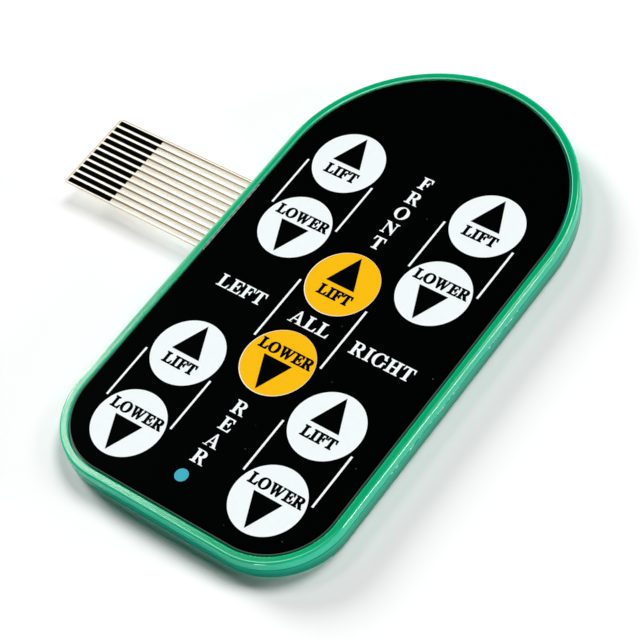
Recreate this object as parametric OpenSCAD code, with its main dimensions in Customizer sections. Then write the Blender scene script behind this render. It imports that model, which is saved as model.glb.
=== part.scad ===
// Membrane keypad: ten printed keys on a laminated film panel, seated in a two-piece moulded frame.
// It lies on its back. X runs across the keypad, Y towards its round end, and Z up from its back face.

/* [Overlay] */
// Width of the printed overlay film
overlay_w = 90.5; // [86:0.5:100]
// Length of the overlay film, from its flat end to the crown of its round end
overlay_l = 168.6; // [164:0.2:190]
// Radius of the overlay's two corners at the flat end
corner_r = 20.5; // [10:0.5:30]
// Thickness of the overlay film
overlay_t = 0.25; // [0.15:0.05:0.5]

/* [Frame] */
// Clear gap between the overlay's edge and the rim around it
edge_gap = 0.75; // [0.4:0.05:1.5]
// Width of the rim, measured at its top
rim_w = 2.4; // [1.8:0.1:4]
// Height of the rim above the overlay
rim_proud = 0.35; // [0.2:0.05:1]
// Radius of the rim's outer top edge
rim_round = 0.9; // [0.3:0.1:1.2]
// Bevel of the rim's inner top edge
rim_bevel = 0.2; // [0.05:0.05:0.25]
// Draft of the outer walls in degrees, both ways from the seam
wall_draft = 2.5; // [0.5:0.5:4]
// Thickness of the base at its shoulder, below the seam
base_t = 4.5; // [3:0.1:6]
// Radius of the base's outer bottom edge
base_round = 0.6; // [0.3:0.1:1.2]
// Height of the base's raised seat above its shoulder
seat_h = 1.85; // [1.2:0.05:3]
// Clearance between the seat and the rim that fits around it
seat_clear = 0.15; // [0.05:0.05:0.3]
// Thickness of the glue line at the seam
bond_t = 0.12; // [0.06:0.02:0.3]
// Bevel of the two edges that meet at the seam
seam_bevel = 0.2; // [0.1:0.05:0.3]
// Distance of the glue line from the outer wall
bond_setback = 0.35; // [0.3:0.05:0.8]

/* [Keys] */
// Diameter of a printed key
key_d = 22.8; // [18:0.2:25]
// Distance of the outer key columns from the centre line
column_x = 25.4; // [24.6:0.2:26.6]
// Distance between the two keys of an outer pair
pair_pitch = 27.6; // [26:0.2:30]
// Distance between the two keys of the centre pair
centre_pitch = 31.6; // [30:0.2:34]
// Lengthwise step from a centre key to the outer key next to it
row_step = 10.2; // [9.6:0.2:12]
// Distance from the overlay's flat end to the middle of the key field
key_field = 70.2; // [66:0.1:74]
// Width of an arrow's base
arrow_w = 10.1; // [6:0.1:12]
// Length of an arrow, from its base to its tip
arrow_l = 11.1; // [6:0.1:12]
// Distance of an arrow's tip from the centre of its key
arrow_reach = 10.3; // [8:0.1:10.5]
// Width of a guide line
line_w = 0.7; // [0.4:0.1:1.5]
// Clearance between a guide line and the side of its keys
line_gap = 0.3; // [0.05:0.05:1]
// Distance from a key's centre to the end of its guide lines
line_inset = 4.5; // [3:0.1:8]
// Diameter of the indicator dot
dot_d = 4.2; // [3:0.1:6]
// Distance of the indicator dot from the overlay's flat end
dot_y = 10.8; // [8:0.1:12]
// Sideways place of the indicator dot, from the middle of the print
dot_x = -0.9; // [-1.5:0.1:1.5]
// Sideways shift of the print on the film
print_x = -0.3; // [-0.8:0.1:0.8]
// Sideways shift of the arrows on their keys
arrow_x = -0.4; // [-0.6:0.1:0.6]

/* [Circuit] */
// Thickness of a circuit film
film_t = 0.125; // [0.1:0.005:0.2]
// Thickness of an adhesive layer
adhesive_t = 0.13; // [0.05:0.01:0.25]
// Thickness of the spacer between the two circuit films
spacer_t = 0.2; // [0.15:0.05:0.4]
// Thickness of one printed layer
print_t = 0.03; // [0.02:0.005:0.04]
// Distance of the inner layers' edge from the overlay's edge
layer_inset = 0.5; // [0.2:0.1:1]
// Diameter of a contact pad under a key
contact_d = 14; // [10:0.5:15]
// Diameter of the spacer's opening under a key
opening_d = 17; // [16:0.5:18]
// Width of an air channel between two openings
vent_w = 1.5; // [0.8:0.1:2.5]
// Distance of an air channel from the middle of its keys
vent_x = 4.5; // [3:0.1:6]
// Width of a printed conductor inside the panel
track_w = 0.6; // [0.4:0.05:0.8]
// Clear distance that a conductor keeps from an opening
track_gap = 1; // [0.6:0.1:1.4]
// Diameter of the conductive dot that joins the two circuits
link_d = 3; // [2:0.1:4]

/* [Tail] */
// Distance between the tail's contacts
tail_pitch = 2.54; // [2:0.01:2.6]
// Width of a contact and of the conductor that leads to it
contact_w = 1.7; // [1:0.05:1.8]
// Length of a contact
contact_l = 17.5; // [6:0.5:20]
// Distance from a contact's end to the tip of the tail
contact_tip = 0.9; // [0.6:0.1:2]
// Length of conductor that shows beyond a contact's end
contact_bare = 0.35; // [0.1:0.05:0.4]
// Film beyond the outermost contacts, at each side
tail_margin = 0.75; // [0.5:0.05:2]
// Free length of the tail outside the frame
tail_l = 53.9; // [30:0.1:90]
// Radius of the tail's corners
tail_r = 1.2; // [0.4:0.1:3]
// Distance from the overlay's flat end to the middle of the tail
tail_field = 90.4; // [88:0.1:94]
// Clearance around the tail where it passes the frame
tail_clear = 0.3; // [0.2:0.05:0.6]
// Thickness of the clear coat over the tail's conductors
cover_t = 0.05; // [0.03:0.01:0.1]
// Thickness of the stiffener under the contacts
stiffener_t = 0.2; // [0.1:0.05:0.4]
// Length of the stiffener beyond the contacts
stiffener_over = 6; // [2:0.5:10]

/* [Hidden] */
$fn = 96;

// Heights, from the back face up through the laminate
panel_z = base_t + seat_h;
lower_z = panel_z + adhesive_t;
track_z = lower_z + film_t;
spacer_z = track_z + print_t;
common_z = spacer_z + spacer_t;
upper_z = common_z + print_t;
bond_z = upper_z + film_t;
overlay_z = bond_z + adhesive_t;
print_z = overlay_z + overlay_t;
top_z = print_z + rim_proud;
frame_z = base_t + bond_t;

// Plan of the overlay, centred on the origin
half_w = overlay_w / 2;
flat_y = -overlay_l / 2;
arc_y = overlay_l / 2 - half_w;
corner_x = half_w - corner_r;
corner_y = flat_y + corner_r;

// Places across the rim, measured outwards from the overlay's edge
wall_in = edge_gap;
seat_out = edge_gap - seat_clear;
rim_out = edge_gap + rim_w;
rim_z = top_z - rim_round;
seam_out = rim_out + (rim_z - frame_z) * tan(wall_draft);
foot_out = seam_out - (base_t - base_round) * tan(wall_draft);
edge_lap = 2;

// Key pairs as [x, middle y, pitch]: front left, front right, centre, rear left, rear right
key_y = flat_y + key_field;
pair_y = centre_pitch / 2 + row_step + pair_pitch / 2;
FRONT_LEFT = [-column_x, key_y + pair_y, pair_pitch];
FRONT_RIGHT = [column_x, key_y + pair_y, pair_pitch];
CENTRE = [0, key_y, centre_pitch];
REAR_LEFT = [-column_x, key_y - pair_y, pair_pitch];
REAR_RIGHT = [column_x, key_y - pair_y, pair_pitch];
OUTER_PAIRS = [FRONT_LEFT, FRONT_RIGHT, REAR_LEFT, REAR_RIGHT];
PAIRS = concat(OUTER_PAIRS, [CENTRE]);
function lift(pair) = [pair[0], pair[1] + pair[2] / 2];
function lower(pair) = [pair[0], pair[1] - pair[2] / 2];
line_x = key_d / 2 + line_gap + line_w / 2;

// Conductors as [start, level of the run across], in the order of the tail's contacts from its front edge.
// Each one leaves its pad, runs across to a lane at the left edge, and turns into the tail.
link_at = [-column_x, key_y];
bypass = opening_d / 2 + track_gap;
TRACKS = [[lift(FRONT_RIGHT), lift(FRONT_RIGHT).y + bypass],
          [lift(FRONT_LEFT), lift(FRONT_LEFT).y],
          [lower(FRONT_RIGHT), FRONT_RIGHT[1]],
          [lower(FRONT_LEFT), lower(FRONT_LEFT).y],
          [lift(CENTRE), lift(CENTRE).y],
          [link_at, link_at.y],
          [lift(REAR_RIGHT), lower(CENTRE).y + bypass],
          [lower(CENTRE), lower(CENTRE).y],
          [lift(REAR_LEFT), lift(REAR_LEFT).y],
          [lower(REAR_RIGHT), REAR_RIGHT[1]],
          [lower(REAR_LEFT), lower(REAR_LEFT).y]];
contacts = len(TRACKS);
first_rear = 4;
lane_in = column_x + bypass;
lane_out = half_w - layer_inset - track_gap - track_w;
lane_pitch = (lane_out - lane_in) / (contacts - first_rear - 1);
function lane_x(i) = -lane_in - lane_pitch * (i < first_rear ? first_rear - 1 - i : i - first_rear);

// Tail, which leaves through the left wall
tail_y = flat_y + tail_field;
tail_w = (contacts - 1) * tail_pitch + contact_w + 2 * tail_margin;
tail_end = half_w + edge_gap + rim_w + tail_l;
contact_end = tail_end - contact_tip;
contact_root = contact_end - contact_l;
window_w = tail_w + 2 * tail_clear;
window_top = spacer_z + cover_t + tail_clear;
function contact_y(i) = tail_y + tail_pitch * ((contacts - 1) / 2 - i);

// Outline of the overlay, grown outwards by a distance
module outline(grow) {
    translate([0, arc_y]) circle(r = half_w + grow);
    translate([-half_w - grow, corner_y]) square([overlay_w + 2 * grow, arc_y - corner_y]);
    translate([-corner_x, flat_y - grow]) square([2 * corner_x, corner_r + grow]);
    for (side = [-1, 1]) translate([side * corner_x, corner_y]) circle(r = corner_r + grow);
}

// One layer of the laminate: the overlay's outline, grown by a distance and given a thickness
module layer(z, t, grow) {
    translate([0, 0, z]) linear_extrude(t) outline(grow);
}

// Sweeps a section, drawn outwards from the overlay's edge, once round the outline
module sweep() {
    translate([0, arc_y, 0]) rotate_extrude(angle = 180) translate([half_w, 0]) children();
    for (side = [0, 1]) mirror([side, 0, 0]) {
        translate([half_w, arc_y, 0]) rotate([90, 0, 0]) linear_extrude(arc_y - corner_y) children();
        translate([corner_x, corner_y, 0]) rotate([0, 0, -90]) rotate_extrude(angle = 90)
            translate([corner_r, 0]) children();
    }
    translate([corner_x, flat_y, 0]) rotate([90, 0, -90]) linear_extrude(2 * corner_x) children();
}

// Section of the frame: a bevelled inner lip, a round outer edge, a drafted wall, and a bevel at the seam
module frame_section() {
    polygon([[wall_in, frame_z], [seam_out - seam_bevel, frame_z], [seam_out, frame_z + seam_bevel],
             [rim_out, rim_z], [rim_out - rim_round, rim_z], [rim_out - rim_round, top_z],
             [wall_in + rim_bevel, top_z], [wall_in, top_z - rim_bevel]]);
    translate([rim_out - rim_round, rim_z]) circle(r = rim_round);
}

// Section of the base's edge: bevelled at the seam, and drafted inwards to a round bottom edge
module base_section() {
    polygon([[-edge_lap, 0], [foot_out - base_round, 0], [foot_out - base_round, base_round],
             [foot_out, base_round], [seam_out, base_t - seam_bevel], [seam_out - seam_bevel, base_t],
             [-edge_lap, base_t]]);
    translate([foot_out - base_round, base_round]) circle(r = base_round);
}

// Block across the left wall at the tail, between two heights
module tail_block(w, z_low, z_high) {
    translate([-half_w - seam_out - edge_lap, tail_y - w / 2, z_low])
        cube([seam_out + edge_lap, w, z_high - z_low]);
}

// Straight conductor between two points on one axis
module run(a, b, w) {
    translate([min(a.x, b.x) - w / 2, min(a.y, b.y) - w / 2])
        square([abs(a.x - b.x) + w, abs(a.y - b.y) + w]);
}

// Rectangle across the tail, from one distance to another, measured to the left of the centre line
module tail_strip(x_near, x_far, y, w) {
    translate([-x_far, y - w / 2]) square([x_far - x_near, w]);
}

// Tail outline from a distance out to the tip, with two round corners
module tail_outline(x_near) {
    tail_strip(x_near, tail_end - tail_r, tail_y, tail_w);
    tail_strip(tail_end - tail_r, tail_end, tail_y, tail_w - 2 * tail_r);
    for (side = [-1, 1])
        translate([tail_r - tail_end, tail_y + side * (tail_w / 2 - tail_r)]) circle(r = tail_r);
}

// Arrow with its tip away from the key's centre, along a direction of 1 or -1 in Y
module arrow(at, direction) {
    tip = direction * arrow_reach;
    base = direction * (arrow_reach - arrow_l);
    translate([at.x + arrow_x, at.y]) polygon([[0, tip], [-arrow_w / 2, base], [arrow_w / 2, base]]);
}

// Moulded base: flat back, shoulder for the glue, raised seat for the panel, and a tongue under the tail
module base_plate() {
    color("#118a63") {
        sweep() base_section();
        layer(0, panel_z, seat_out);
        difference() {
            tail_block(window_w - 2 * seat_clear, base_t, panel_z);
            // the outer wall's draft, carried on up the tongue
            translate([-half_w - seam_out, tail_y - window_w, base_t]) rotate([0, wall_draft, 0])
                translate([-edge_lap - seam_out, 0, -edge_lap])
                    cube([edge_lap + seam_out, 2 * window_w, seat_h + 2 * edge_lap]);
        }
    }
}

// Glue line that closes the seam, interrupted where the tail's tongue stands
module seam_bond() {
    color("#0b4d38") difference() {
        sweep() translate([wall_in, base_t]) square([seam_out - bond_setback - wall_in, bond_t]);
        tail_block(window_w, base_t - bond_t, frame_z + bond_t);
    }
}

// Moulded rim frame, with a notch in its left wall for the tail
module rim_frame() {
    color("#14a878") difference() {
        sweep() frame_section();
        tail_block(window_w, frame_z - bond_t, window_top);
    }
}

// Adhesive sheet that holds the panel on its seat
module panel_adhesive() {
    color("#d9d4c4") layer(panel_z, adhesive_t, -layer_inset);
}

// Lower circuit film, cut in one piece with the tail
module lower_circuit() {
    color("#e9e6da") translate([0, 0, lower_z]) linear_extrude(film_t) {
        outline(-layer_inset);
        tail_outline(corner_x);
    }
}

// Silver print of the lower circuit: a pad under each key and a conductor from it to the tail
module lower_tracks() {
    color("#b5a88f") translate([0, 0, track_z]) linear_extrude(print_t) for (i = [0 : contacts - 1]) {
        start = TRACKS[i][0];
        level = TRACKS[i][1];
        translate(start) circle(d = start == link_at ? link_d + 2 * track_gap : contact_d);
        run(start, [start.x, level], track_w);
        run([start.x, level], [lane_x(i), level], track_w);
        run([lane_x(i), level], [lane_x(i), contact_y(i)], track_w);
        run([lane_x(i), contact_y(i)], [-half_w, contact_y(i)], track_w);
        tail_strip(half_w, contact_end + contact_bare, contact_y(i), contact_w);
    }
}

// Clear insulating coat over the tail's conductors
module tail_cover() {
    color("#efe9d2") translate([0, 0, spacer_z]) linear_extrude(cover_t)
        tail_strip(half_w, contact_root, tail_y, tail_w);
}

// Carbon print over the ends of the conductors, which a connector grips
module tail_contacts() {
    color("#101312") translate([0, 0, spacer_z]) linear_extrude(print_t)
        for (i = [0 : contacts - 1]) tail_strip(contact_root, contact_end, contact_y(i), contact_w);
}

// Polyester strip bonded under the contacts
module tail_stiffener() {
    color("#f4f4f0") translate([0, 0, lower_z - stiffener_t]) linear_extrude(stiffener_t)
        tail_outline(contact_root - stiffener_over);
}

// Spacer with an opening under each key, air channels between the two of a pair, and a hole for the link
module spacer() {
    color("#dfe3e2") translate([0, 0, spacer_z]) linear_extrude(spacer_t) difference() {
        outline(-layer_inset);
        for (pair = PAIRS) {
            for (at = [lift(pair), lower(pair)]) translate(at) circle(d = opening_d);
            run(lift(pair) + [vent_x, 0], lower(pair) + [vent_x, 0], vent_w);
        }
        translate(link_at) circle(d = link_d + 2 * seat_clear);
    }
}

// Conductive dot that joins the upper circuit to the common conductor below
module common_link() {
    color("#8d8f92") translate([link_at.x, link_at.y, spacer_z]) cylinder(d = link_d, h = spacer_t);
}

// Silver print under the upper film: a pad over each key's contact, all joined in common
module upper_tracks() {
    color("#bfc1c2") translate([0, 0, common_z]) linear_extrude(print_t) {
        for (pair = PAIRS) for (at = [lift(pair), lower(pair)]) translate(at) circle(d = contact_d);
        for (x = [-column_x, column_x]) run([x, lift(FRONT_LEFT).y], [x, lower(REAR_LEFT).y], track_w);
        run(lift(CENTRE), lower(CENTRE), track_w);
        run([-column_x, key_y], [column_x, key_y], track_w);
        translate(link_at) circle(d = link_d);
    }
}

// Upper circuit film, which flexes under a finger
module upper_circuit() {
    color("#e3e7e6") layer(upper_z, film_t, -layer_inset);
}

// Adhesive sheet between the upper circuit and the overlay
module overlay_adhesive() {
    color("#d9d4c4") layer(bond_z, adhesive_t, -layer_inset);
}

// Overlay film, printed black all over
module graphic_overlay() {
    color("#0b0f0f") layer(overlay_z, overlay_t, 0);
}

// White print: the outer keys, and the two guide lines that tie each pair together
module white_print() {
    color("#eff5f5") translate([print_x, 0, print_z]) linear_extrude(print_t) {
        for (pair = OUTER_PAIRS, at = [lift(pair), lower(pair)]) translate(at) circle(d = key_d);
        for (pair = PAIRS, side = [-1, 1])
            translate([pair[0] + side * line_x - line_w / 2, lower(pair).y + line_inset])
                square([line_w, pair[2] - 2 * line_inset]);
    }
}

// Yellow print: the two centre keys
module yellow_print() {
    color("#f9c20f") translate([print_x, 0, print_z]) linear_extrude(print_t)
        for (at = [lift(CENTRE), lower(CENTRE)]) translate(at) circle(d = key_d);
}

// Black print on the keys: an arrow up on each lift key, and down on each lower key
module black_print() {
    color("#0b0f0f") translate([print_x, 0, print_z + print_t]) linear_extrude(print_t) for (pair = PAIRS) {
        arrow(lift(pair), 1);
        arrow(lower(pair), -1);
    }
}

// Blue print: the indicator dot near the flat end
module blue_print() {
    color("#4db3c4") translate([print_x + dot_x, flat_y + dot_y, print_z]) cylinder(d = dot_d, h = print_t);
}

base_plate();
seam_bond();
rim_frame();
panel_adhesive();
lower_circuit();
lower_tracks();
tail_cover();
tail_contacts();
tail_stiffener();
spacer();
common_link();
upper_tracks();
upper_circuit();
overlay_adhesive();
graphic_overlay();
white_print();
yellow_print();
black_print();
blue_print();
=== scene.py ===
import math
import bpy
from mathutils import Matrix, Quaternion, Vector
from mathutils.geometry import delaunay_2d_cdt


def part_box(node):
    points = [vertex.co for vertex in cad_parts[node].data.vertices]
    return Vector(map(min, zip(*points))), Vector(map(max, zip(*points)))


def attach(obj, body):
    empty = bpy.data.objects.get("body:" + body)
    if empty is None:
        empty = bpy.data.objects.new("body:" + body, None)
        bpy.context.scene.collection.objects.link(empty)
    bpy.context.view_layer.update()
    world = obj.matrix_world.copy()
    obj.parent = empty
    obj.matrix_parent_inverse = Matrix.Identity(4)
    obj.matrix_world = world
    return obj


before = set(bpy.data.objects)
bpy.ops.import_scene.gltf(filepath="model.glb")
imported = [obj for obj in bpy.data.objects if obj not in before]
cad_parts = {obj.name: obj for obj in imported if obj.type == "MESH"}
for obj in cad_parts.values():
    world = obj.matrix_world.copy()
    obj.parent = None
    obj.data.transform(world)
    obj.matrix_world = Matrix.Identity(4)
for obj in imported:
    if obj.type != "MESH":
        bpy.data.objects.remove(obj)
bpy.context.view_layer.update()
MM = 0.001


# Base plate: the lower half of the case, a green moulding with a flat back and a round bottom edge.
# It is solid-coloured plastic; its green is painted a shade deeper than the rim's as shade, darker still
# towards the bottom, and a pale line on its bottom edge at the flat end is a painted highlight.
def add(tree, kind, values=(), **options):
    """Adds a node to a tree. Options are the node's own settings, and values fill its inputs by name or
    place. A value that is another node's output is joined to the input."""
    made = tree.nodes.new(kind)
    for option, value in options.items():
        setattr(made, option, value)
    for place, value in values.items() if isinstance(values, dict) else enumerate(values):
        if isinstance(value, bpy.types.NodeSocket):
            tree.links.new(value, made.inputs[place])
        else:
            made.inputs[place].default_value = value
    return made


class Finish:
    """One material: its shader, the place and the facing on the piece, and short ways to vary its look."""

    def __init__(self, name, colour, roughness, **sockets):
        self.material = bpy.data.materials.new(name)
        self.material.use_nodes = True
        self.tree = self.material.node_tree
        self.shader = self.tree.nodes["Principled BSDF"]
        self.shader.inputs["Base Color"].default_value = (*colour, 1)
        self.shader.inputs["Roughness"].default_value = roughness
        for socket, value in sockets.items():
            self.shader.inputs[socket.replace("_", " ")].default_value = value
        where = add(self.tree, "ShaderNodeTexCoord").outputs
        self.place = where["Object"]
        self.x, self.y, self.z = self.split(where["Object"])
        self.facing_up = self.split(where["Normal"])[2]

    def noise(self, scale, detail, place=None):
        """Cloudy values from 0 to 1, with scale blots to the metre."""
        values = {"Vector": place or self.place, "Scale": scale, "Detail": detail}
        return add(self.tree, "ShaderNodeTexNoise", values).outputs[0]

    def math(self, operation, *values):
        return add(self.tree, "ShaderNodeMath", values, operation=operation).outputs[0]

    def times(self, product, *factors):
        """Product of two or more values."""
        for factor in factors:
            product = self.math("MULTIPLY", product, factor)
        return product

    def vector(self, operation, *values):
        made = add(self.tree, "ShaderNodeVectorMath", values, operation=operation)
        return made.outputs["Value" if operation == "LENGTH" else "Vector"]

    def join(self, x, y):
        return add(self.tree, "ShaderNodeCombineXYZ", [x, y]).outputs[0]

    def split(self, vector):
        return list(add(self.tree, "ShaderNodeSeparateXYZ", [vector]).outputs)

    def grade(self, value, low, high, to_low=0.0, to_high=1.0):
        """Maps low..high to to_low..to_high and stops at both ends."""
        return add(self.tree, "ShaderNodeMapRange", [value, low, high, to_low, to_high]).outputs[0]

    def mix(self, share, first, second):
        """Colour that goes from the first to the second as share goes from 0 to 1."""
        colours = [colour if isinstance(colour, bpy.types.NodeSocket) else (*colour, 1)
                   for colour in (first, second)]
        made = add(self.tree, "ShaderNodeMix", {0: share, 6: colours[0], 7: colours[1]}, data_type="RGBA")
        return made.outputs[2]

    def put(self, socket, value):
        self.tree.links.new(value, self.shader.inputs[socket])

    def cloud(self, scale, detail, first, second):
        """Colours the piece in a cloudy mix of two colours."""
        self.put("Base Color", self.mix(self.noise(scale, detail), first, second))

    def bump(self, height, distance, strength=1.0):
        """Relief: height from 0 to 1 stands for distance in metres."""
        values = {"Height": height, "Distance": distance, "Strength": strength}
        self.put("Normal", add(self.tree, "ShaderNodeBump", values).outputs[0])

    def dress(self, *nodes):
        """Gives this finish to parts of the frame."""
        for name in nodes:
            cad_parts[name].data.materials.clear()
            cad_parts[name].data.materials.append(self.material)


BASE_GREEN = (0.004, 0.31, 0.2)
BASE_SHADED = (0.003, 0.18, 0.11)
BASE_BOTTOM_HIGHLIGHT = (0.2, 0.62, 0.48)
BASE_CLOUD = 0.5 * MM
FLAT_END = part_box("base_plate")[0].y
# Where a look sets in or fades out, from and to
SHADE_HEIGHT = 0.8 * MM, 4.2 * MM
BOTTOM_HIGHLIGHT_HEIGHT = 0.5 * MM, 0.7 * MM
BOTTOM_HIGHLIGHT_LENGTH = FLAT_END + 12 * MM, FLAT_END + 20 * MM
base_green = Finish("base_green", BASE_GREEN, 0.2, Specular_IOR_Level=0.2)
base_cloud = base_green.grade(base_green.noise(60, 3), 0, 1, -BASE_CLOUD, BASE_CLOUD)
base_height = base_green.math("ADD", base_green.z, base_cloud)
# Painted shade: the green darkens towards the bottom between these two heights
base_shaded_tone = base_green.mix(base_green.grade(base_height, *SHADE_HEIGHT), BASE_SHADED, BASE_GREEN)
# Painted highlight: a pale band on the bottom edge, at the flat end only
base_bottom_highlight = base_green.times(base_green.grade(base_green.z, *BOTTOM_HIGHLIGHT_HEIGHT, 1, 0),
                             base_green.grade(base_green.y, *BOTTOM_HIGHLIGHT_LENGTH, 1, 0))
base_green.put("Base Color", base_green.mix(base_bottom_highlight, base_shaded_tone, BASE_BOTTOM_HIGHLIGHT))
base_green.put("Roughness", base_green.grade(base_green.noise(900, 4), 0.3, 0.7, 0.16, 0.26))
base_green.bump(base_green.noise(2600, 3), 0.02 * MM, 0.4)
base_green.dress("base_plate")


# Seam bond: the glue that closes the two halves of the case, cured dark in a groove round the side wall.
# Along the right wall it was squeezed out in places into beads, some of them painted pale as glints.
GRAIN_SMALLEST = 0.35
GRAIN_LIFT = 0.3


def new_tree(name, **sizes):
    """Empty node tree for geometry, with a named input for each size."""
    tree = bpy.data.node_groups.new(name, "GeometryNodeTree")
    tree.interface.new_socket("Geometry", in_out="INPUT", socket_type="NodeSocketGeometry")
    for size, value in sizes.items():
        kind = "NodeSocketInt" if isinstance(value, int) else "NodeSocketFloat"
        tree.interface.new_socket(size, in_out="INPUT", socket_type=kind)
    tree.interface.new_socket("Geometry", in_out="OUTPUT", socket_type="NodeSocketGeometry")
    return tree, add(tree, "NodeGroupInput").outputs


def end_tree(tree, geometry, finish):
    """Ends a tree in real mesh with one finish."""
    real = add(tree, "GeometryNodeRealizeInstances", [geometry]).outputs[0]
    painted = add(tree, "GeometryNodeSetMaterial", {"Geometry": real, "Material": finish.material})
    add(tree, "NodeGroupOutput", [painted.outputs[0]])


def grow(name, source, tree, slot, **sizes):
    """Runs a tree on a source mesh with the given sizes, keeps the result as a plain mesh, and fixes it to
    the case."""
    piece = bpy.data.objects.new(name, source)
    bpy.context.scene.collection.objects.link(piece)
    modifier = piece.modifiers.new(name, "NODES")
    modifier.node_group = tree
    for item in tree.interface.items_tree:
        if item.in_out == "INPUT" and item.name in sizes:
            modifier[item.identifier] = sizes[item.name]
    evaluated = piece.evaluated_get(bpy.context.evaluated_depsgraph_get())
    piece.data = bpy.data.meshes.new_from_object(evaluated)
    piece.modifiers.clear()
    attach(piece, "root")


def crumbs(name, points, z, finish, slot, **sizes):
    """Long grains along a path: one at each Spacing where a random draw falls under Share, moved by up to
    Stray, Length along the path and Thickness across it, each grain of its own random size."""
    tree, given = new_tree(name, **sizes)
    curve = add(tree, "GeometryNodeMeshToCurve", [given["Geometry"]]).outputs[0]
    spots = add(tree, "GeometryNodeCurveToPoints", {"Curve": curve, "Length": given["Spacing"]},
                mode="LENGTH").outputs
    stray = add(tree, "FunctionNodeRandomValue",
                {0: (-1, -1, -GRAIN_LIFT), 1: (1, 1, GRAIN_LIFT), "Seed": given["Seed"]},
                data_type="FLOAT_VECTOR").outputs[0]
    offset = add(tree, "ShaderNodeVectorMath", {0: stray, "Scale": given["Stray"]}, operation="SCALE")
    placed = add(tree, "GeometryNodeSetPosition",
                 {"Geometry": spots["Points"], "Offset": offset.outputs[0]})
    index = add(tree, "GeometryNodeInputIndex").outputs[0]
    size = add(tree, "FunctionNodeRandomValue",
               {2: GRAIN_SMALLEST, 3: 1.0, "ID": index, "Seed": given["Seed"]},
               data_type="FLOAT").outputs[1]
    shape = add(tree, "ShaderNodeCombineXYZ", [given["Thickness"], given["Thickness"], given["Length"]])
    scale = add(tree, "ShaderNodeVectorMath", {0: shape.outputs[0], "Scale": size}, operation="SCALE")
    chosen = add(tree, "FunctionNodeRandomValue", {"Probability": given["Share"], "Seed": given["Seed"]},
                 data_type="BOOLEAN").outputs[3]
    grain = add(tree, "GeometryNodeMeshIcoSphere", {"Radius": 0.5, "Subdivisions": 2}).outputs[0]
    grains = add(tree, "GeometryNodeInstanceOnPoints",
                 {"Points": placed.outputs[0], "Selection": chosen, "Instance": grain,
                  "Rotation": spots["Rotation"], "Scale": scale.outputs[0]})
    end_tree(tree, grains.outputs[0], finish)
    path = bpy.data.meshes.new(name)
    path.from_pydata([(x, y, z) for x, y in points], [(i, i + 1) for i in range(len(points) - 1)], [])
    grow(name, path, tree, slot, **sizes)


glue = Finish("seam_glue", (0.006, 0.12, 0.075), 0.15)
glue.cloud(400, 2, (0.003, 0.06, 0.04), (0.012, 0.16, 0.1))
glue.bump(glue.noise(1500, 2), 0.05 * MM, 0.6)
glue.dress("seam_bond")
BEAD_DARK = (0.003, 0.07, 0.045)
BEAD_GLINT = (0.9, 0.97, 0.94)
BEAD_OUT = 0.18 * MM
BEAD_FIRST, BEAD_LAST = -42 * MM, 22 * MM
PATH_STEP = 1.5 * MM
low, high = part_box("seam_bond")
bead_count = round((BEAD_LAST - BEAD_FIRST) / PATH_STEP)
bead_path = [(high.x + BEAD_OUT, BEAD_FIRST + i * PATH_STEP) for i in range(bead_count)]
glue_with_glints = Finish("glue_with_glints", (0.4, 0.7, 0.6), 0.1)
# Painted highlight: some beads are painted near white as glints, the rest are dark glue
glint_share = glue_with_glints.grade(glue_with_glints.noise(300, 1), 0.42, 0.47)
glue_with_glints.put("Base Color", glue_with_glints.mix(glint_share, BEAD_DARK, BEAD_GLINT))
crumbs("seam_beads", bead_path, (low.z + high.z) / 2, glue_with_glints, "glue",
       Spacing=1.1 * MM, Length=1.6 * MM, Thickness=0.33 * MM, Stray=0.005 * MM, Share=0.6, Seed=4)


# Rim frame: the upper half of the case, moulded in the same green plastic and glued on.
# Its top is glossy and a little crowned, with fine marks across it from the tool that dressed it.
# Pale lines on its inner edge at the round end and near its outer edge at the flat end are painted
# highlights.
GREEN_TOP = (0.0005, 0.39, 0.16)
GREEN_SIDE_REFLECTED = (0.015, 0.49, 0.29)
GREEN_INNER_LIT = (0.2, 0.97, 0.7)
GREEN_LIP_HIGHLIGHT = (0.33, 0.97, 0.72)
low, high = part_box("graphic_overlay")
HALF_W = high.x
FLAT_Y = low.y
ARC_Y = high.y - HALF_W
CORNER_R = 20.5 * MM
CORNER_X = HALF_W - CORNER_R
CORNER_Y = FLAT_Y + CORNER_R


def around(finish):
    """The nearest point on the overlay's outline, and the distance outwards from it."""
    round_end = finish.math("GREATER_THAN", finish.y, ARC_Y)
    middle_x = finish.times(finish.grade(finish.x, -CORNER_X, CORNER_X, -CORNER_X, CORNER_X),
                            finish.math("SUBTRACT", 1.0, round_end))
    middle = finish.join(middle_x, finish.grade(finish.y, CORNER_Y, ARC_Y, CORNER_Y, ARC_Y))
    radius = finish.grade(round_end, 0, 1, CORNER_R, HALF_W)
    spoke = finish.vector("SUBTRACT", finish.join(finish.x, finish.y), middle)
    nearest = finish.vector("MULTIPLY_ADD", finish.vector("NORMALIZE", spoke), radius, middle)
    return nearest, finish.math("SUBTRACT", finish.vector("LENGTH", spoke), radius)


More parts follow.
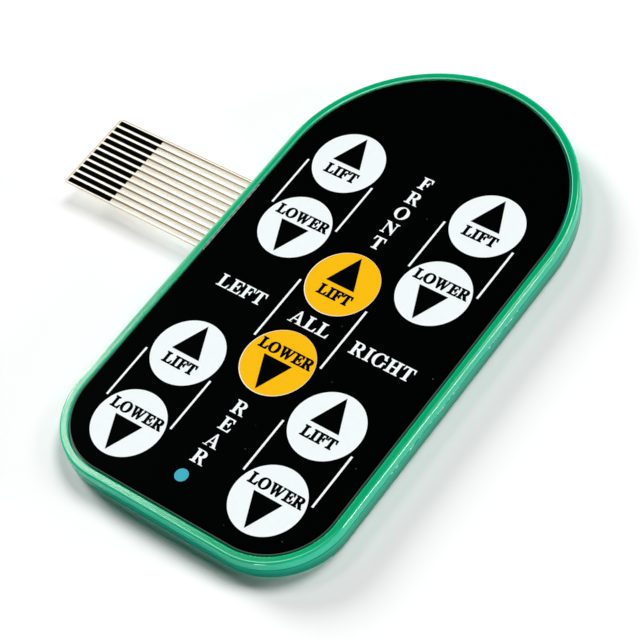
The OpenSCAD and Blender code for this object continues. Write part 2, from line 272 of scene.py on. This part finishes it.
# A reach is a distance outwards from the overlay's outline
RIM_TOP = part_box("rim_frame")[1].z
RIM_MIDDLE, RIM_HALF = 1.75 * MM, 1.0 * MM
RIM_CROWN = 0.3
INNER_REACH = 0.93 * MM
LIP_HEIGHT = 0.9 * MM
LIP_REACH = 0.88 * MM, 0.98 * MM
LIP_LENGTH = ARC_Y + 5 * MM, ARC_Y + 18 * MM
EDGE_FROM = 2.2 * MM, 2.35 * MM
EDGE_TO = 2.47 * MM, 2.6 * MM
EDGE_LENGTH = CORNER_Y, FLAT_Y + 2 * MM
EDGE_HIGHLIGHT_SHARE = 0.75
DULL_WIDTH = -HALF_W - 1.6 * MM, -HALF_W - 2.1 * MM
DULL_LENGTH = CORNER_Y + 2 * MM, CORNER_Y + 19 * MM
MARKS_ACROSS = 0.3
rim_green = Finish("rim_green", GREEN_TOP, 0.1, IOR=1.5,
                   Subsurface_Weight=0.7, Subsurface_Radius=(0.3, 1, 0.6), Subsurface_Scale=1.2 * MM)
rim_foot, rim_reach = around(rim_green)
rim_cloud = rim_green.mix(rim_green.noise(80, 3), (0.86, 0.86, 0.86), (1.06, 1.06, 1.06))
# Painted light: the rim's inner wall is painted pale and bright, as if lit down in the gap
lit_inner_wall = rim_green.times(rim_green.math("LESS_THAN", rim_reach, INNER_REACH),
                            rim_green.math("LESS_THAN", rim_green.facing_up, 0.3))
# Painted reflection: faces that tilt away from the top are paler and bluer, as if reflecting the white
# floor
rim_reflection_tone = rim_green.mix(rim_green.grade(rim_green.facing_up, 0.85, 0.99), GREEN_SIDE_REFLECTED, GREEN_TOP)
rim_colour = rim_green.vector("MULTIPLY", rim_green.mix(lit_inner_wall, rim_reflection_tone, GREEN_INNER_LIT), rim_cloud)
# Painted highlights: a pale line on the inner lip at the round end, and one near the outer edge at the flat
# end
lip_highlight = rim_green.times(rim_green.grade(rim_reach, *LIP_REACH, 1, 0),
                          rim_green.grade(rim_green.y, *LIP_LENGTH),
                          rim_green.math("GREATER_THAN", rim_green.z, RIM_TOP - LIP_HEIGHT))
flat_edge_highlight = rim_green.times(rim_green.grade(rim_reach, *EDGE_FROM),
                           rim_green.grade(rim_reach, *EDGE_TO, 1, 0),
                           rim_green.grade(rim_green.y, *EDGE_LENGTH, 0, EDGE_HIGHLIGHT_SHARE))
rim_highlights = rim_green.math("MAXIMUM", lip_highlight, flat_edge_highlight)
rim_green.put("Base Color", rim_green.mix(rim_highlights, rim_colour, GREEN_LIP_HIGHLIGHT))
tool_marks = rim_green.math("MULTIPLY_ADD", rim_green.noise(1500, 3, rim_foot), MARKS_ACROSS,
                            rim_green.times(rim_green.noise(2200, 2), 1 - MARKS_ACROSS))
rim_dull = rim_green.times(rim_green.grade(rim_green.x, *DULL_WIDTH, 0, 0.5),
                           rim_green.grade(rim_green.y, *DULL_LENGTH))
rim_gloss = rim_green.grade(tool_marks, 0.35, 0.65, 0.05, 0.19)
rim_green.put("Roughness", rim_green.math("MAXIMUM", rim_gloss, rim_dull))
off_middle = rim_green.math("DIVIDE", rim_green.math("SUBTRACT", rim_reach, RIM_MIDDLE), RIM_HALF)
rim_fall = rim_green.times(off_middle, off_middle, RIM_CROWN)
rim_green.bump(rim_green.math("SUBTRACT", tool_marks, rim_fall), 0.014 * MM)
rim_green.dress("rim_frame")


# Nicks in the rim: small pale chips on its inner edge, left where the flash was cut away by hand, round
# the right-hand corner. They are bruised plastic, so they are whiter than the rim and matt.
def arc(x, y, radius, first, last):
    """Points of an arc from one angle to another, in degrees, its last point left out."""
    count = max(2, round(math.radians(abs(last - first)) * radius / PATH_STEP))
    turns = [math.radians(first + (last - first) * i / count) for i in range(count)]
    return [(x + radius * math.cos(turn), y + radius * math.sin(turn)) for turn in turns]


NICK_OUT = 0.84 * MM
NICK_DEPTH = 0.12 * MM
NICK_TURN = 282
NICK_STEP, NICK_STEPS = 2 * MM, 10
nick = Finish("bruised_green", (0.5, 0.7, 0.6), 0.6)
nick.cloud(900, 2, (0.35, 0.62, 0.5), (0.8, 0.9, 0.86))
nick_path = arc(CORNER_X, CORNER_Y, CORNER_R + NICK_OUT, NICK_TURN, 360)
nick_path += [(HALF_W + NICK_OUT, CORNER_Y + i * NICK_STEP) for i in range(NICK_STEPS)]
crumbs("rim_nicks", nick_path, RIM_TOP - NICK_DEPTH, nick, "green_plastic",
       Spacing=1.3 * MM, Length=0.55 * MM, Thickness=0.14 * MM, Stray=0.06 * MM, Share=0.45, Seed=11)


# Adhesive sheets and spacer: thin films with acrylic glue, die-cut and laid up by hand under the overlay.
# They show only as a pale edge, deep in the gap between the panel and the rim.
adhesive = Finish("adhesive_sheet", (0.72, 0.69, 0.60), 0.6)
adhesive.cloud(500, 3, (0.74, 0.71, 0.62), (0.62, 0.58, 0.48))
adhesive.dress("panel_adhesive", "overlay_adhesive")
spacer = Finish("spacer_film", (0.75, 0.77, 0.76), 0.4)
spacer.cloud(300, 2, (0.76, 0.78, 0.77), (0.68, 0.7, 0.69))
spacer.dress("spacer")


# Circuit films: clear polyester with a milky cast, cut from the sheet, the lower one in one piece with the
# tail. They are stuck between the sheets above and below. Light passes through the tail, so its shadow is
# left out, and the cut edges look brown against its pale face.
FILM_TIP = (0.96, 0.92, 0.8)
FILM_MILK = (0.985, 0.98, 0.95)
FILM_EDGE_BROWN = (0.5, 0.4, 0.25)
FILM_SIDE_BROWN = (0.42, 0.35, 0.25)
FILM_EDGE_W = 0.35 * MM
low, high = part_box("tail_stiffener")
TAIL_TIP, TAIL_Y, TAIL_W = low.x, (low.y + high.y) / 2, high.y - low.y
MILK_LENGTH = TAIL_TIP + 18 * MM, -HALF_W - 8 * MM
film = Finish("circuit_film", (0.93, 0.925, 0.9), 0.3)
film_flat = film.math("GREATER_THAN", film.math("ABSOLUTE", film.facing_up), 0.5)
film_cloud = film.mix(film.noise(200, 3), (1.0, 1.0, 1.0), (0.97, 0.965, 0.955))
film_milk = film.mix(film.grade(film.x, *MILK_LENGTH), FILM_TIP, FILM_MILK)
film_off = film.math("ABSOLUTE", film.math("SUBTRACT", film.y, TAIL_Y))
film_sides = film.times(film.math("GREATER_THAN", film_off, TAIL_W / 2 - FILM_EDGE_W),
                        film.math("LESS_THAN", film.x, -HALF_W))
film_edge = film.math("MAXIMUM", film.math("LESS_THAN", film.x, TAIL_TIP + FILM_EDGE_W), film_sides)
film_face = film.mix(film_edge, film.vector("MULTIPLY", film_milk, film_cloud), FILM_EDGE_BROWN)
film.put("Base Color", film.mix(film_flat, FILM_SIDE_BROWN, film_face))
film.put("Alpha", film.grade(film_flat, 0, 1, 0.9, 0.8))
film.bump(film.noise(900, 2), 0.01 * MM, 0.3)
film.dress("lower_circuit", "upper_circuit")
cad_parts["lower_circuit"].visible_shadow = False


# Silver prints and the dot that links them: silver-filled ink, screen-printed and baked on the films.
# On the tail the ink is thin: each conductor is cream at its front edge and fades to a white haze at its
# rear edge. Past the contacts the bare ends are a darker cream.
SILVER_HAZE = (0.97, 0.95, 0.89)
SILVER_CREAM = (0.83, 0.69, 0.38)
SILVER_END = (0.6, 0.5, 0.31)
SILVER_COVER = 0.72
CONTACTS, PITCH = 11, 2.54 * MM
low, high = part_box("tail_contacts")
CONTACT_ROOT, CONTACT_END = high.x, low.x
CONTACT_W = high.y - low.y - (CONTACTS - 1) * PITCH
INK_HALF = CONTACT_W / PITCH / 2
silver = Finish("silver_ink", (0.8, 0.77, 0.68), 0.45)
silver_turn = silver.math("DIVIDE", silver.math("SUBTRACT", silver.y, TAIL_Y - PITCH / 2), PITCH)
silver_across = silver.math("FRACT", silver.math("ADD", silver_turn, CONTACTS))
silver_share = silver.grade(silver_across, 0.5 - INK_HALF, 0.5 + INK_HALF)
silver_end = silver.math("LESS_THAN", silver.x, CONTACT_END)
silver_tone = silver.mix(silver_end, silver.mix(silver_share, SILVER_HAZE, SILVER_CREAM), SILVER_END)
silver_grain = silver.mix(silver.noise(1500, 3), (0.98, 0.98, 0.975), (1.02, 1.02, 1.02))
silver.put("Base Color", silver.vector("MULTIPLY", silver_tone, silver_grain))
silver.put("Alpha", silver.math("MAXIMUM", silver.times(silver_share, SILVER_COVER), silver_end))
silver.dress("lower_tracks", "upper_tracks", "common_link")


# Tail lines: a dark brown strip along the front edge of each conductor, seen through the coat, is painted
# shade.
# The lines are darkest at the contacts and fade towards the case.
LINE_DARK = (0.12, 0.066, 0.018)
LINE_PALE = (0.32, 0.22, 0.09)
LINE_ROOT_W, LINE_END_W = 0.64 * MM, 0.42 * MM
LINE_PAST = 0.04 * MM
LINE_BELOW, LINE_ABOVE = 0.03 * MM, 0.02 * MM
LINE_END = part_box("rim_frame")[0].x
FADE_LENGTH = CONTACT_ROOT + 6 * MM, LINE_END
edge_shade = Finish("conductor_edge_shade", (0.2, 0.13, 0.07), 0.5)
line_tone = edge_shade.mix(edge_shade.grade(edge_shade.x, *FADE_LENGTH), LINE_DARK, LINE_PALE)
line_grain = edge_shade.mix(edge_shade.noise(1200, 3), (0.75, 0.75, 0.75), (1.2, 1.2, 1.2))
edge_shade.put("Base Color", edge_shade.vector("MULTIPLY", line_tone, line_grain))
coat_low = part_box("tail_cover")[0].z
line_heights = coat_low - LINE_BELOW, coat_low + LINE_ABOVE
line_edge = CONTACT_W / 2 + LINE_PAST
line_plan = [(CONTACT_ROOT, line_edge - LINE_ROOT_W), (LINE_END, line_edge - LINE_END_W),
             (LINE_END, line_edge), (CONTACT_ROOT, line_edge)]
line_mesh = bpy.data.meshes.new("tail_line")
line_mesh.from_pydata([(x, y, z) for z in line_heights for x, y in line_plan], [],
                      [(3, 2, 1, 0), (4, 5, 6, 7), (0, 1, 5, 4), (1, 2, 6, 5), (2, 3, 7, 6), (3, 0, 4, 7)])
line_sizes = {"Count": CONTACTS, "Pitch": PITCH, "First": TAIL_Y - (CONTACTS - 1) * PITCH / 2}
line_tree, line_given = new_tree("tail_shade_lines", **line_sizes)
line_step = add(line_tree, "ShaderNodeCombineXYZ", {"Y": line_given["Pitch"]}).outputs[0]
line_start = add(line_tree, "ShaderNodeCombineXYZ", {"Y": line_given["First"]}).outputs[0]
line_spots = add(line_tree, "GeometryNodeMeshLine",
                 {"Count": line_given["Count"], "Start Location": line_start, "Offset": line_step})
line_copies = add(line_tree, "GeometryNodeInstanceOnPoints",
                  {"Points": line_spots.outputs[0], "Instance": line_given["Geometry"]})
end_tree(line_tree, line_copies.outputs[0], edge_shade)
grow("tail_shade_lines", line_mesh, line_tree, "silver_ink", **line_sizes)


# Tail cover: a clear insulating coat with a cream tint, screen-printed over the tail and cured.
# It ends at the contacts, and it is so thin that the conductors show through it.
cover = Finish("clear_coat", (0.95, 0.92, 0.82), 0.2, Alpha=0.03)
cover.cloud(300, 2, (0.96, 0.94, 0.87), (0.93, 0.9, 0.8))
cover.dress("tail_cover")


# Tail contacts: eleven matt black strips, which the springs of a connector press on.
# They are carbon-filled ink, screen-printed over the ends of the silver conductors and baked.
BLACK_SHINE = 0.003
carbon = Finish("carbon_ink", (0.001, 0.002, 0.002), 0.5, Specular_IOR_Level=BLACK_SHINE)
carbon.cloud(2500, 3, (0.0003, 0.0005, 0.0005), (0.0012, 0.0014, 0.0012))
carbon.dress("tail_contacts")


# Tail stiffener: a strip that makes the tip of the tail thick enough for a connector to grip.
# It is milky polyester film, cut to the width of the tail and stuck on under the contacts.
stiffener = Finish("stiffener_film", (0.9, 0.9, 0.88), 0.4, Alpha=0.08)
stiffener.cloud(300, 2, (0.94, 0.94, 0.92), (0.9, 0.9, 0.88))
stiffener.dress("tail_stiffener")


# Graphic overlay: polyester film, printed black under a hard coat, cut to shape and stuck on top.
# Its cut edge is bare, and on the left and at the flat end it is painted pale as a highlight.
# A few specks of dust lie on its face.
BLACK = (0.0002, 0.0006, 0.0006)
BARE_EDGE_HIGHLIGHT = (0.1, 0.115, 0.09)
BARE_W = 0.2 * MM
DUST = (0.12, 0.13, 0.135)
DUST_SIZE = 0.006, 0.014
LEFT_WIDTH = -HALF_W, -HALF_W + 3 * MM
FLAT_LENGTH = CORNER_Y, CORNER_Y + 20 * MM
ROUND_LENGTH = ARC_Y - 5 * MM, ARC_Y + 15 * MM
black_film = Finish("overlay_black", BLACK, 0.3, Specular_IOR_Level=BLACK_SHINE)
edge_reach = around(black_film)[1]
# Painted highlight: the cut edge and a thin margin beside it are pale on the left and at the flat end
cut_edge = black_film.math("MAXIMUM", black_film.math("GREATER_THAN", edge_reach, -BARE_W),
                           black_film.math("LESS_THAN", black_film.facing_up, 0.5))
off_left = black_film.math("MAXIMUM", black_film.grade(black_film.x, *LEFT_WIDTH),
                           black_film.grade(black_film.y, *FLAT_LENGTH, 1, 0))
lit_bare_edge = black_film.times(cut_edge, black_film.grade(black_film.y, *ROUND_LENGTH, 1, 0), off_left)
specks = add(black_film.tree, "ShaderNodeTexVoronoi", {"Vector": black_film.place, "Scale": 70.0},
             voronoi_dimensions="2D").outputs["Distance"]
dusty = black_film.times(black_film.grade(specks, *DUST_SIZE, 1, 0),
                         black_film.grade(black_film.noise(30, 1), 0.55, 0.66))
black_face = black_film.mix(dusty, BLACK, DUST)
black_film.put("Base Color", black_film.mix(lit_bare_edge, black_face, BARE_EDGE_HIGHLIGHT))
black_film.dress("graphic_overlay")


# White print: the outer keys, the guide lines and the words between the keys, screen-printed on the film.
# The words say which corners a pair of keys moves. They are bold letters with serifs, built up from
# plain strokes.
INK_ROUGH, INK_SHINE = 0.35, 0.03
white_ink = Finish("white_ink", (0.86, 0.91, 0.91), INK_ROUGH, Specular_IOR_Level=INK_SHINE)
white_ink.cloud(700, 3, (0.82, 0.87, 0.875), (0.79, 0.84, 0.845))
white_ink.dress("white_print")

# Letters are drawn in a box of height 1 that starts at x = 0. STEM and HAIR are thick and thin strokes.
# A serif reaches OVER past its stem, and it is TOE thick at its tip and BRACKET thick at the stem.
STEM, HAIR, TOE, BRACKET, OVER = 0.235, 0.085, 0.055, 0.12, 0.13
IN = OVER + STEM
LETTER_GAP = 0.08
OVAL_SIDES = 40


def bar(left, right, bottom, top):
    return [(left, bottom), (right, bottom), (right, top), (left, top)]


def upside_down(shape):
    return [(x, 1 - y) for x, y in reversed(shape)]


def serif(left, right):
    """Serif at the foot of a stem that runs from left to right."""
    out_left, out_right = left - OVER, right + OVER
    return [(out_left, 0), (out_right, 0), (out_right, TOE),
            (right, BRACKET), (left, BRACKET), (out_left, TOE)]


def post(left):
    """Upright stem with a serif at both ends."""
    foot = serif(left, left + STEM)
    return [bar(left, left + STEM, 0, 1), foot, upside_down(foot)]


def arm(left, right, rise):
    """Thin stroke along the foot of a letter that turns up into a point at its right end."""
    return [(left, 0), (right - 0.03, 0), (right, rise),
            (right - 0.05, rise), (right - 0.19, HAIR), (left, HAIR)]


def tongue(left, right):
    """Thin stroke at mid-height with a small cross at its right end."""
    neck, back = right - 0.14, right - 0.05
    return [(left, 0.48), (neck, 0.48), (back, 0.33), (right, 0.33),
            (right, 0.71), (back, 0.71), (neck, 0.56), (left, 0.56)]


def oval(x, y, half_w, half_h):
    turns = [math.tau * i / OVAL_SIDES for i in range(OVAL_SIDES)]
    return [(x + half_w * math.cos(turn), y + half_h * math.sin(turn)) for turn in turns]


# Each letter: its width, the shapes that make it, and the shapes cut out of them
LETTERS = {
    "I": (0.5, post(OVER), []),
    "L": (0.87, post(OVER) + [arm(IN, 0.87, 0.36)], []),
    "F": (0.82, post(OVER) + [upside_down(arm(IN, 0.82, 0.34)), tongue(IN, 0.64)], []),
    "E": (0.89, post(OVER) + [arm(IN, 0.89, 0.34), upside_down(arm(IN, 0.85, 0.3)), tongue(IN, 0.66)], []),
    "T": (0.89, [bar(0.327, 0.562, 0, 0.95), serif(0.327, 0.562), bar(0.04, 0.85, 1 - HAIR, 1),
                 [(0, 0.66), (0.05, 0.66), (0.17, 1 - HAIR), (0.17, 1), (0.03, 1)],
                 [(0.84, 0.66), (0.89, 0.66), (0.86, 1), (0.72, 1), (0.72, 1 - HAIR)]], []),
    "H": (1.05, post(OVER) + post(0.685) + [bar(IN, 0.685, 0.46, 0.56)], []),
    "O": (1.07, [oval(0.535, 0.5, 0.535, 0.52)], [oval(0.535, 0.5, 0.275, 0.445)]),
    "G": (1.05, [oval(0.52, 0.5, 0.52, 0.52), bar(0.69, 0.925, 0.04, 0.42), bar(0.56, 1.05, 0.38, 0.45),
                 [(0.72, 0.93), (0.88, 0.64), (0.93, 0.64), (0.93, 1.02), (0.88, 1.02)]],
          [oval(0.53, 0.5, 0.27, 0.44), bar(0.93, 1.2, -0.1, 0.37), bar(0.69, 1.2, 0.46, 0.64)]),
    "R": (1.02, post(OVER) + [oval(0.53, 0.73, 0.34, 0.27), bar(IN, 0.53, 0.46, 1),
                              [(0.4, 0.5), (0.73, 0.04), (0.95, 0.04), (0.66, 0.5)],
                              bar(0.68, 1.02, 0, TOE)],
          [oval(0.5, 0.735, 0.125, 0.185), bar(IN, 0.5, 0.55, 0.92)]),
    "N": (1.03, [bar(OVER, OVER + HAIR, 0, 1), serif(OVER, OVER + HAIR), bar(0.815, 0.9, 0, 1),
                 upside_down(serif(0.815, 0.9)), [(0.02, 1), (0.9, -0.03), (0.9, 0.28), (0.34, 1)],
                 bar(0, 0.34, 1 - TOE, 1)], []),
    "A": (1.05, [[(0.12, 0), (0.21, 0), (0.53, 0.87), (0.47, 1.02)],
                 [(0.69, 0), (0.96, 0), (0.57, 1.02), (0.46, 1.02)],
                 bar(0.22, 0.75, 0.28, 0.36), bar(0, 0.34, 0, TOE), bar(0.58, 1.05, 0, TOE)], []),
    "W": (1.44, [[(0.09, 1), (0.4, -0.02), (0.5, -0.02), (0.36, 1)],
                 [(0.4, -0.02), (0.5, -0.02), (0.75, 0.85), (0.68, 0.95)],
                 [(0.57, 1), (0.88, -0.02), (0.98, -0.02), (0.84, 1)],
                 [(0.88, -0.02), (0.98, -0.02), (1.31, 1), (1.22, 1)],
                 bar(0, 0.92, 1 - TOE, 1), bar(1.09, 1.44, 1 - TOE, 1)], []),
}


def along(word, x, y, height, width):
    """Letters of a word side by side, its middle at x and its foot at y. Each is given as the letter, its
    left, its foot, and how wide and how tall its box of height 1 becomes."""
    full = sum(LETTERS[letter][0] + LETTER_GAP for letter in word) - LETTER_GAP
    left, placed = x - width / 2, []
    for letter in word:
        placed.append((letter, left, y, width / full, height))
        left += (LETTERS[letter][0] + LETTER_GAP) * width / full
    return placed


def stacked(word, x, y, height, step):
    """Letters of a word one below the other, their middle at x, y, given in the same way."""
    first = y + step * (len(word) - 1) / 2 - height / 2
    return [(letter, x - LETTERS[letter][0] * height / 2, first - i * step, height, height)
            for i, letter in enumerate(word)]


def moved(shape, x, y):
    return [(a + x, b + y) for a, b in shape]


def drawn_in(shape, by):
    """Shape made smaller all round by a distance."""
    middle, half = [], []
    for values in zip(*shape):
        middle.append((max(values) + min(values)) / 2)
        half.append((max(values) - min(values)) / 2)
    return [tuple(m + (v - m) * (1 - by / h) for v, m, h in zip(point, middle, half)) for point in shape]


def print_words(name, placed, z_low, z_high, spread, finish):
    """One mesh of printed letters between two heights, fixed to the case. Ink that runs makes each stroke
    wider by spread on every side, as a share of the letter's height."""
    points, faces = [], []
    for letter, left, foot, wide, tall in placed:
        _, made, cut = LETTERS[letter]
        made = [moved(shape, x, y) for shape in made for x in {-spread, spread} for y in {-spread, spread}]
        cut = [drawn_in(shape, spread) for shape in cut]
        corners, shapes = [], []
        for shape in made + cut:
            shapes.append(list(range(len(corners), len(corners) + len(shape))))
            corners += [Vector(corner) for corner in shape]
        plan, _, triangles, _, _, owners = delaunay_2d_cdt(corners, [], shapes, 0, 1e-5)
        inked = [triangle for triangle, owner in zip(triangles, owners) if owner and max(owner) < len(made)]
        start, count = len(points), len(plan)
        points += [(left + x * wide, foot + y * tall, z) for z in (z_low, z_high) for x, y in plan]
        sides = {(a, b) for triangle in inked for a, b in zip(triangle, triangle[1:] + triangle[:1])}
        faces += [[start + count + i for i in triangle] for triangle in inked]
        faces += [[start + i for i in reversed(triangle)] for triangle in inked]
        faces += [[start + a, start + b, start + count + b, start + count + a]
                  for a, b in sides if (b, a) not in sides]
    mesh = bpy.data.meshes.new(name)
    mesh.from_pydata(points, [], faces)
    mesh.materials.append(finish.material)
    piece = bpy.data.objects.new(name, mesh)
    bpy.context.scene.collection.objects.link(piece)
    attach(piece, "root")


low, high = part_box("yellow_print")
PRINT_X, PRINT_Y = (low.x + high.x) / 2, (low.y + high.y) / 2
KEY_D = high.x - low.x
CENTRE_PITCH = high.y - low.y - KEY_D
WORD_H, WORD_STEP = 4.5 * MM, 6.2 * MM
# Words in a row: the word, its middle and its foot from the centre of the print, and its width, in mm
ROW_WORDS = (("ALL", 0.15, -2.35, 14.0), ("LEFT", -25.25, -2.45, 16.9), ("RIGHT", 26.25, -2.85, 21.5))
# Words in a column: the word and its middle from the centre of the print, in mm
COLUMN_WORDS = (("FRONT", 0.3, 45.5), ("REAR", 0.05, -42.8))
white_words = []
for word, x, y, width in ROW_WORDS:
    white_words += along(word, PRINT_X + x * MM, PRINT_Y + y * MM, WORD_H, width * MM)
for word, x, y in COLUMN_WORDS:
    white_words += stacked(word, PRINT_X + x * MM, PRINT_Y + y * MM, WORD_H, WORD_STEP)
low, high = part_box("white_print")
print_words("white_words", white_words, low.z, high.z, 0.0, white_ink)


# Yellow print: the two centre keys, which work on all corners at once, screen-printed like the others.
# The yellow is printed over a white disc, a little off centre, so a thin pale edge shows on one side.
YELLOW_D, YELLOW_SHIFT = 22.5 * MM, 0.08 * MM
UNDER_WHITE = (0.9, 0.86, 0.72)
yellow_ink = Finish("yellow_ink", (0.94, 0.53, 0.01), INK_ROUGH, Specular_IOR_Level=INK_SHINE)
yellow_tone = yellow_ink.mix(yellow_ink.noise(700, 3), (0.885, 0.475, 0.0026), (0.855, 0.45, 0.0022))
from_pair = yellow_ink.math("ABSOLUTE", yellow_ink.math("SUBTRACT", yellow_ink.y, PRINT_Y + YELLOW_SHIFT))
from_key = yellow_ink.join(yellow_ink.math("SUBTRACT", yellow_ink.x, PRINT_X + YELLOW_SHIFT),
                           yellow_ink.math("SUBTRACT", from_pair, CENTRE_PITCH / 2))
past_yellow = yellow_ink.math("GREATER_THAN", yellow_ink.vector("LENGTH", from_key), YELLOW_D / 2)
yellow_ink.put("Base Color", yellow_ink.mix(past_yellow, yellow_tone, UNDER_WHITE))
yellow_ink.dress("yellow_print")


# Black print: an arrow and a word on each key, in dense black ink over the key's colour.
# The words say what the key does. Their ink ran a little in the printing, so their strokes are full.
black_ink = Finish("black_ink", BLACK, INK_ROUGH, Specular_IOR_Level=BLACK_SHINE)
black_ink.cloud(900, 3, BLACK, (0.0006, 0.001, 0.001))
black_ink.dress("black_print")
COLUMN_X, PAIR_PITCH = 25.4 * MM, 27.6 * MM
KEY_WORD_H = 3.5 * MM
KEY_WORD_SPREAD = 0.035
LIFT_X, LIFT_FOOT, LIFT_W = 0.25 * MM, -5.9 * MM, 11.4 * MM
LOWER_X, LOWER_FOOT, LOWER_W = 0.4 * MM, 2.1 * MM, 18.75 * MM
low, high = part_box("white_print")
FRONT_Y = high.y - (KEY_D + PAIR_PITCH) / 2
REAR_Y = low.y + (KEY_D + PAIR_PITCH) / 2
key_pairs = [(0, PRINT_Y, CENTRE_PITCH)]
key_pairs += [(x, y, PAIR_PITCH) for y in (FRONT_Y, REAR_Y) for x in (-COLUMN_X, COLUMN_X)]
key_words = []
for x, y, pitch in key_pairs:
    key_words += along("LIFT", PRINT_X + x + LIFT_X, y + pitch / 2 + LIFT_FOOT, KEY_WORD_H, LIFT_W)
    key_words += along("LOWER", PRINT_X + x + LOWER_X, y - pitch / 2 + LOWER_FOOT, KEY_WORD_H, LOWER_W)
low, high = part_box("black_print")
print_words("key_words", key_words, low.z, high.z, KEY_WORD_SPREAD, black_ink)


# Blue print: the round indicator mark near the flat end, between the last two keys.
# It is blue ink, screen-printed on the film as the keys are.
blue_ink = Finish("blue_ink", (0.075, 0.45, 0.55), INK_ROUGH, Specular_IOR_Level=INK_SHINE)
blue_ink.cloud(900, 3, (0.05, 0.4, 0.515), (0.045, 0.375, 0.485))
blue_ink.dress("blue_print")


# Studio: a white floor and six lamps far away, so the light is plain and even over the part.
# A broad lamp stands behind, with a fill at its right. Another stands at the left, with a small one above
# it for the sheen, and two low ones light the right wall and the flat end.
FLOOR_SIDE = 6
floor_mesh = bpy.data.meshes.new("floor")
floor_corners = [(x * FLOOR_SIDE / 2, y * FLOOR_SIDE / 2, 0)
                 for x, y in ((-1, -1), (1, -1), (1, 1), (-1, 1))]
floor_mesh.from_pydata(floor_corners, [], [(0, 1, 2, 3)])
floor = bpy.data.objects.new("floor", floor_mesh)
bpy.context.scene.collection.objects.link(floor)
floor_white = Finish("floor_white", (0.93, 0.935, 0.935), 0.9, Specular_IOR_Level=0.0)
floor_mesh.materials.append(floor_white.material)


def sun(name, toward, strength, angle):
    """Lamp far away in one direction, of an angular size in degrees."""
    lamp = bpy.data.objects.new(name, bpy.data.lights.new(name, "SUN"))
    lamp.data.energy = strength
    lamp.data.angle = math.radians(angle)
    lamp.rotation_euler = Vector(toward).to_track_quat("Z", "Y").to_euler()
    bpy.context.scene.collection.objects.link(lamp)


sun("back_lamp", (0.04, 0.57, 0.82), 1.85, 24)
sun("left_lamp", (-0.9, 0.25, 0.36), 3.1, 20)
sun("sheen_lamp", (-0.585, 0.25, 0.77), 0.38, 12.4)
sun("fill_lamp", (0.55, 0.6, 0.58), 0.52, 16)
sun("right_lamp", (0.92, 0.38, 0.1), 1.9, 16)
sun("front_lamp", (0.2, -0.98, 0.015), 2.3, 10)
world = bpy.data.worlds.new("studio")
world.use_nodes = True
world.node_tree.nodes["Background"].inputs["Color"].default_value = (1, 1, 1, 1)
world.node_tree.nodes["Background"].inputs["Strength"].default_value = 0.006
bpy.context.scene.world = world
bpy.context.scene.view_settings.view_transform = "Standard"

# The camera looks at AIM from DISTANCE, at an azimuth and an elevation in degrees
AZIMUTH, ELEVATION, ROLL = 51.1, 52.5, -17.9
DISTANCE = 629.7 * MM
AIM = Vector((1.44, -11.76, 7.26)) * MM
LENS, SENSOR = 123.3, 36
camera = bpy.data.objects.new("camera", bpy.data.cameras.new("camera"))
camera.data.lens = LENS
camera.data.sensor_width = SENSOR
turn, rise = math.radians(AZIMUTH), math.radians(ELEVATION)
toward_camera = Vector((math.sin(turn) * math.cos(rise), -math.cos(turn) * math.cos(rise), math.sin(rise)))
camera.location = AIM + DISTANCE * toward_camera
camera.rotation_mode = "QUATERNION"
camera.rotation_quaternion = (toward_camera.to_track_quat("Z", "Y")
                              @ Quaternion((0, 0, 1), math.radians(ROLL)))
bpy.context.scene.collection.objects.link(camera)
bpy.context.scene.camera = camera
